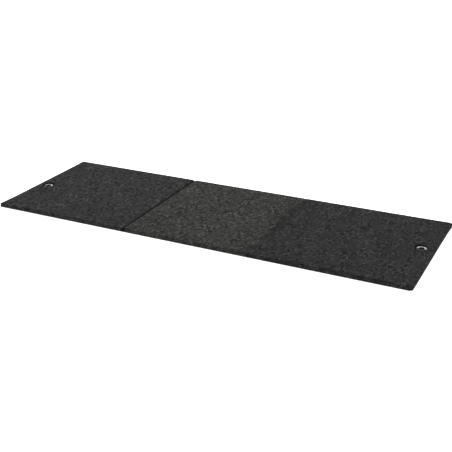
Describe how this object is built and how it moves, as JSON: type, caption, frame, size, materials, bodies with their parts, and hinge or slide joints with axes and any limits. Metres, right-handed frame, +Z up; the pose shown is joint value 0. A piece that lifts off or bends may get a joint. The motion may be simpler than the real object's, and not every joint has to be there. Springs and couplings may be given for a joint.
{
  "type": "folding gym mat",
  "caption": "Long thin felt-covered foam exercise mat that folds in a Z, with a metal hanging eyelet near each end.",
  "frame": {"origin": "on the floor under the centre of the open mat", "axes": "+X along the mat's length, towards the right panel; +Y across its width; +Z up"},
  "size_m": [1.8, 0.6, 0.02],
  "materials": {
    "top_felt": "charcoal melange needle felt",
    "under_felt": "darker flat felt",
    "foam": "closed-cell foam",
    "webbing": "woven tape",
    "eyelet_metal": "nickel plate, satin"
  },
  "bodies": {
    "right_panel": {"right_foam_core": "foam", "right_top_cover": "top_felt", "right_underside": "under_felt", "right_eyelet": "eyelet_metal", "right_eyelet_washer": "eyelet_metal", "right_eyelet_patch": "webbing"},
    "middle_panel": {"middle_foam_core": "foam", "middle_top_cover": "top_felt", "middle_underside": "under_felt", "left_fold_strip": "webbing", "right_fold_strip": "webbing"},
    "left_panel": {"left_foam_core": "foam", "left_top_cover": "top_felt", "left_underside": "under_felt", "left_eyelet": "eyelet_metal", "left_eyelet_washer": "eyelet_metal", "left_eyelet_patch": "webbing"}
  },
  "joints": [
    {"name": "right_fold", "type": "hinge", "parent": "right_panel", "child": "middle_panel", "pos_m": [0.2725, 0, 0.0203], "axis": [0, 1, 0], "range_deg": [0, 180], "deforming": ["right_fold_strip"]},
    {"name": "left_fold", "type": "hinge", "parent": "middle_panel", "child": "left_panel", "pos_m": [-0.2725, 0, -0.0003], "axis": [0, -1, 0], "range_deg": [0, 180], "deforming": ["left_fold_strip"]}
  ]
}
